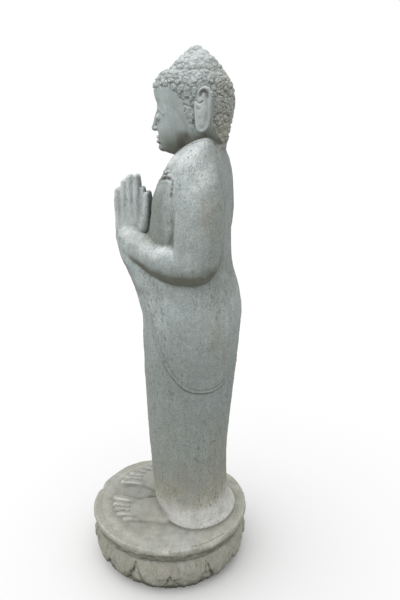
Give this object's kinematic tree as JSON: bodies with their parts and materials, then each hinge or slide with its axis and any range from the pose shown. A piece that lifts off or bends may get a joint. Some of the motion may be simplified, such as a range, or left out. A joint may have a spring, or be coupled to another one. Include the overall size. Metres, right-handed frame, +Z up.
{
  "type": "standing stone buddha statue",
  "caption": "Standing praying Buddha carved in grey-green stone: joined palms, draped robe, curled hair with crown bump, long ears, on a round lotus-petal base.",
  "frame": {"origin": "middle of the round base's underside, where it stands on the ground", "axes": "+Z up through the crown of the head, -Y the way the figure faces, +X the figure's own left"},
  "size_m": [0.48, 0.48, 1.5002],
  "materials": {
    "stone": "weathered grey-green stone, finely pitted, matt"
  },
  "bodies": {
    "root": {"buddha_statue": "stone"}
  },
  "joints": []
}
